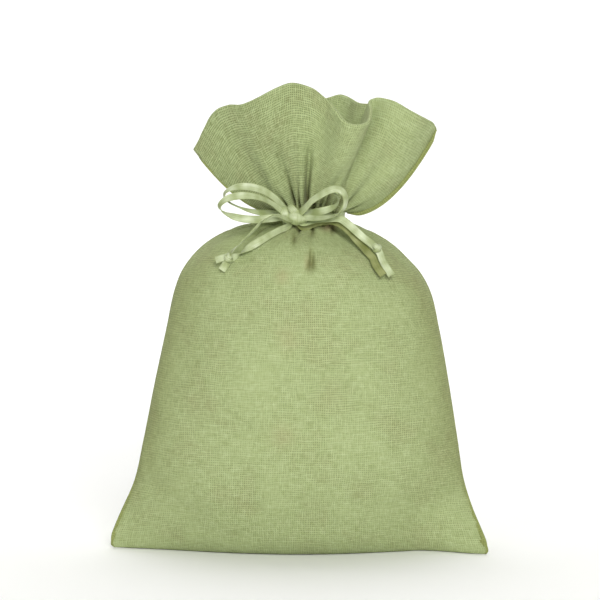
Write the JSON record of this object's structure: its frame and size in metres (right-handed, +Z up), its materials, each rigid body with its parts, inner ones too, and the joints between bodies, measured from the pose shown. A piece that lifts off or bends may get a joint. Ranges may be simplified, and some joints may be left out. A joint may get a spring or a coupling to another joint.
{
  "type": "fabric gift sack",
  "caption": "Open-weave cloth gift sack, filled out and standing, its neck gathered by a drawn satin ribbon tied in a double bow under a deep doubled ruffle.",
  "frame": {"origin": "on the floor, at the middle of the outline of the sack without its bow", "axes": "+Z up, X across the two panels with +X to the right seen from the bow, the bow and the front face -Y"},
  "size_m": [0.1492, 0.076, 0.187],
  "materials": {
    "cloth": "matt open plain weave with uneven threads, sage green",
    "ribbon": "double-faced satin, paler sage green",
    "thread": "matt sewing thread, sage green"
  },
  "bodies": {
    "sack": {"front_panel": "cloth", "back_panel": "cloth", "left_side_seam": "cloth", "right_side_seam": "cloth", "bottom_seam": "cloth", "channel_front": "cloth", "channel_back": "cloth", "channel_lining": "cloth", "lower_channel_stitching": "thread", "upper_channel_stitching": "thread", "left_drawstring": "ribbon", "right_drawstring": "ribbon", "bow_knot": "ribbon"},
    "ruffle": {"front_ruffle": "cloth", "back_ruffle": "cloth", "left_ruffle_seam": "cloth", "right_ruffle_seam": "cloth"},
    "left_loops": {"left_front_loop": "ribbon", "left_back_loop": "ribbon"},
    "right_loops": {"right_front_loop": "ribbon", "right_back_loop": "ribbon"},
    "left_tails": {"left_edge_tail": "ribbon", "left_flat_tail": "ribbon", "left_end_knot": "ribbon", "left_end_upper": "ribbon", "left_end_lower": "ribbon"},
    "right_tails": {"right_bright_tail": "ribbon", "right_shaded_tail": "ribbon", "right_end_knot": "ribbon", "right_end_outer": "ribbon", "right_end_inner": "ribbon"}
  },
  "joints": [
    {"name": "ruffle_lean", "type": "hinge", "parent": "sack", "child": "ruffle", "pos_m": [0.005, 0, 0.134], "axis": [-1, 0, 0], "range_deg": [-3, 25], "stiffness_Nm_per_rad": 0.01},
    {"name": "left_loops_swing", "type": "hinge", "parent": "sack", "child": "left_loops", "pos_m": [-0.00206, -0.01748, 0.134], "axis": [0, 1, 0], "range_deg": [-3, 8], "stiffness_Nm_per_rad": 0.001},
    {"name": "right_loops_swing", "type": "hinge", "parent": "sack", "child": "right_loops", "pos_m": [-0.00206, -0.01748, 0.134], "axis": [0, -1, 0], "range_deg": [-3, 8], "stiffness_Nm_per_rad": 0.001},
    {"name": "left_tails_swing", "type": "hinge", "parent": "sack", "child": "left_tails", "pos_m": [-0.00206, -0.01748, 0.134], "axis": [0, 0.7071, -0.7071], "range_deg": [-2, 6], "stiffness_Nm_per_rad": 0.001},
    {"name": "right_tails_swing", "type": "hinge", "parent": "sack", "child": "right_tails", "pos_m": [-0.00206, -0.01748, 0.134], "axis": [0, -0.7071, 0.7071], "range_deg": [-2, 6], "stiffness_Nm_per_rad": 0.001}
  ]
}
